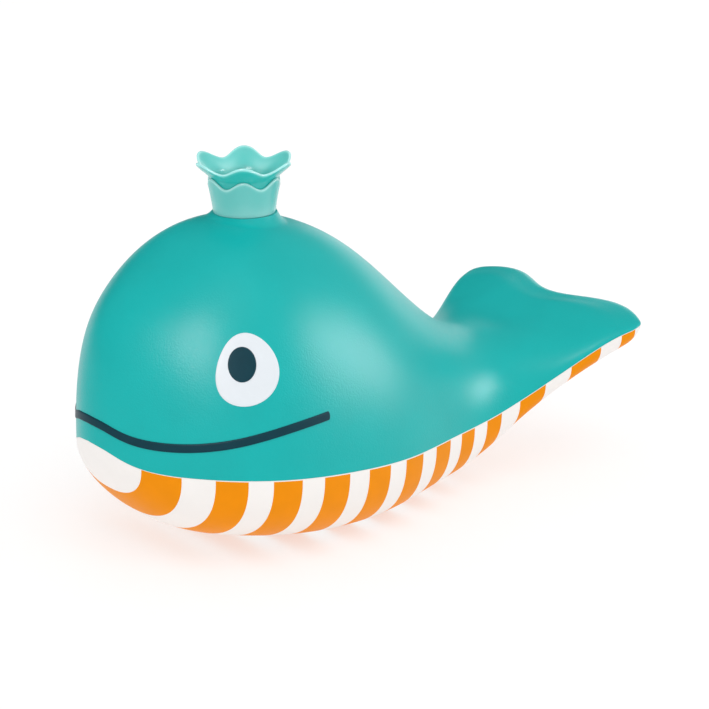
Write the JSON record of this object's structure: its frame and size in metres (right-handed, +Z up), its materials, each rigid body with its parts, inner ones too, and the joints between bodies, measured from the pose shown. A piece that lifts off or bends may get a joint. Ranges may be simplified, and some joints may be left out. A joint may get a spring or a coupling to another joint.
{
  "type": "squeaky bath toy",
  "caption": "Soft hollow whale bath toy with a striped belly, printed face, lifted flukes and a wavy crown spout that holds a reed squeaker; the belly gives when pressed.",
  "frame": {"origin": "middle of the outer box, on the table under the flat of the belly", "axes": "+X from the nose to the flukes, +Y to the toy's right side (the side away from the picture's camera), +Z up"},
  "size_m": [0.1783, 0.0872, 0.1096],
  "materials": {
    "teal_vinyl": "satin",
    "white_vinyl": "satin",
    "orange_print": "satin",
    "white_print": "satin",
    "navy_print": "satin",
    "clear_teal": "translucent satin",
    "squeaker_plastic": "moulded",
    "reed_film": "smooth film"
  },
  "bodies": {
    "belly": {"belly_shell": "white_vinyl", "belly_stripes": "orange_print"},
    "upper": {"upper_shell": "teal_vinyl", "eye_white_left": "white_print", "eye_white_right": "white_print", "pupil_left": "navy_print", "pupil_right": "navy_print", "mouth_line": "navy_print", "crown_cup": "clear_teal", "crown_funnel": "clear_teal", "neck_ring": "squeaker_plastic", "squeaker_barrel": "squeaker_plastic", "squeaker_cap": "squeaker_plastic", "reed_block": "squeaker_plastic", "reed_clamp": "squeaker_plastic"},
    "reed": {"reed": "reed_film"}
  },
  "joints": [
    {"name": "body_press", "type": "slide", "parent": "belly", "child": "upper", "axis": [0, 0, -1], "range_m": [0, 0.008], "stiffness_N_per_m": 1900, "springref_m": -0.0008, "deforming": ["belly_shell", "belly_stripes"]},
    {"name": "reed_flutter", "type": "hinge", "parent": "upper", "child": "reed", "pos_m": [-0.035, 0, 0.08814], "axis": [1, 0, 0], "range_deg": [-1.2, 4.5], "stiffness_Nm_per_rad": 0.0001}
  ]
}
